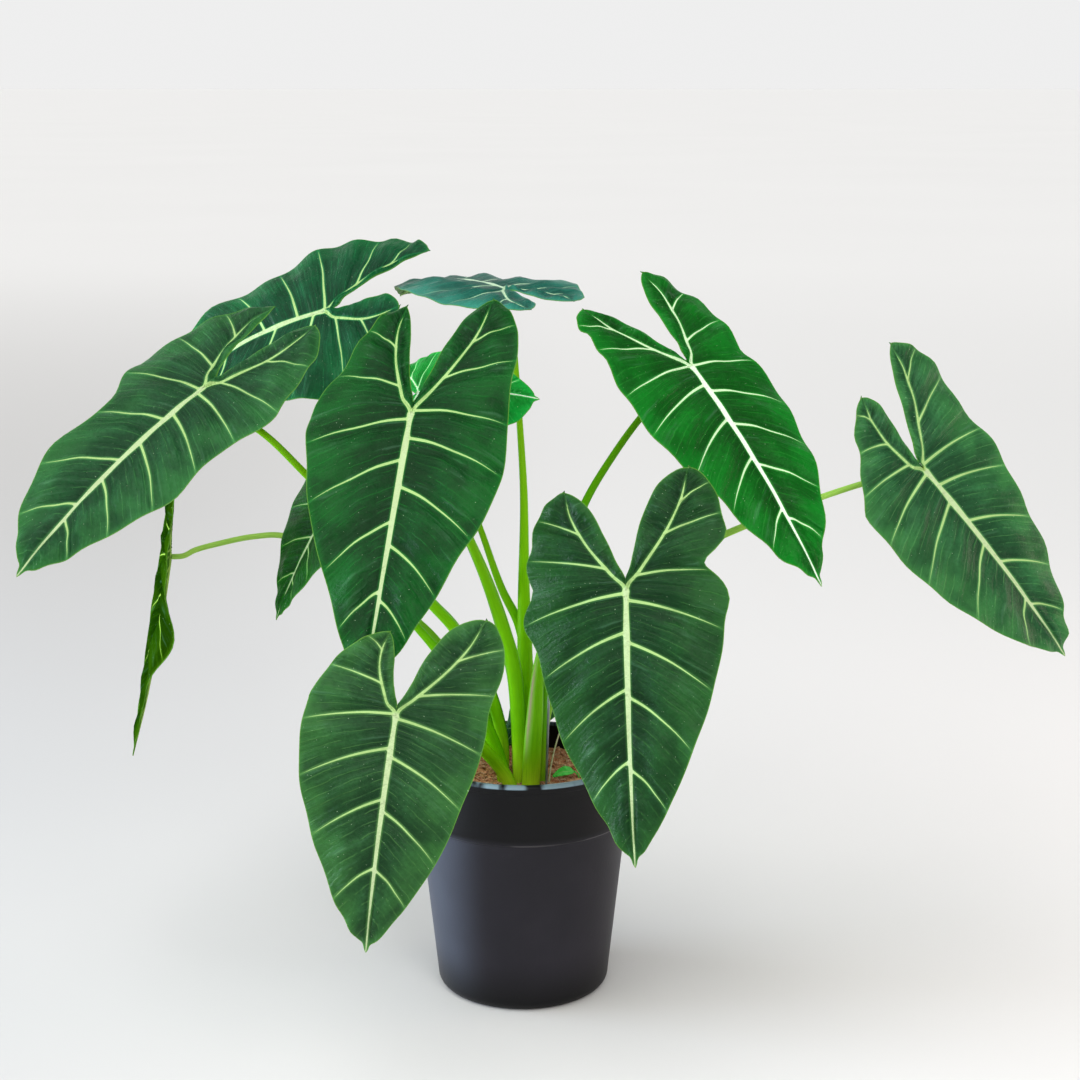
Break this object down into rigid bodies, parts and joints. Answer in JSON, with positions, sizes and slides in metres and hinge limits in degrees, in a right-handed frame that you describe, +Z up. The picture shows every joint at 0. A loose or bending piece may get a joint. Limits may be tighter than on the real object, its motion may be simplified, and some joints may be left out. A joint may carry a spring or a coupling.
{
  "type": "potted alocasia",
  "caption": "Potted alocasia: arrow-shaped dark green leaves with pale veins on long stalks, rooted in bark soil in a black nursery pot with a rolled rim.",
  "frame": {"origin": "centre of the pot's flat bottom", "axes": "+Z up along the pot's axis, -Y towards the picture's viewer, +X towards the right-hand leaves"},
  "size_m": [0.9398, 0.5658, 0.692],
  "materials": {
    "pot_plastic": "satin",
    "soil_bark": "matte",
    "blade_green": "satin",
    "blade_bright": "satin",
    "stalk_green": "satin",
    "stalk_olive": "satin",
    "stake_grey": "satin",
    "straw": "matte",
    "seedling_green": "satin"
  },
  "bodies": {
    "root": {"pot": "pot_plastic", "soil": "soil_bark", "blade_left_outer": "blade_green", "stalk_left_outer": "stalk_green", "blade_left_upper": "blade_green", "stalk_left_upper": "stalk_green", "blade_centre_left": "blade_green", "stalk_centre_left": "stalk_green", "blade_young_middle": "blade_bright", "stalk_young_middle": "stalk_green", "blade_front_left_low": "blade_green", "stalk_front_left_low": "stalk_green", "blade_top": "blade_green", "stalk_top": "stalk_green", "blade_right_upper": "blade_bright", "stalk_right_upper": "stalk_green", "blade_front_right": "blade_green", "stalk_front_right": "stalk_green", "blade_right_outer": "blade_green", "stalk_right_outer": "stalk_olive", "blade_left_hanging": "blade_green", "stalk_left_hanging": "stalk_olive", "blade_left_inner": "blade_green", "stalk_left_inner": "stalk_green", "blade_small_back": "blade_green", "stalk_small_back": "stalk_green", "support_stake": "stake_grey", "dry_twig": "straw", "seedling": "seedling_green"}
  },
  "joints": []
}
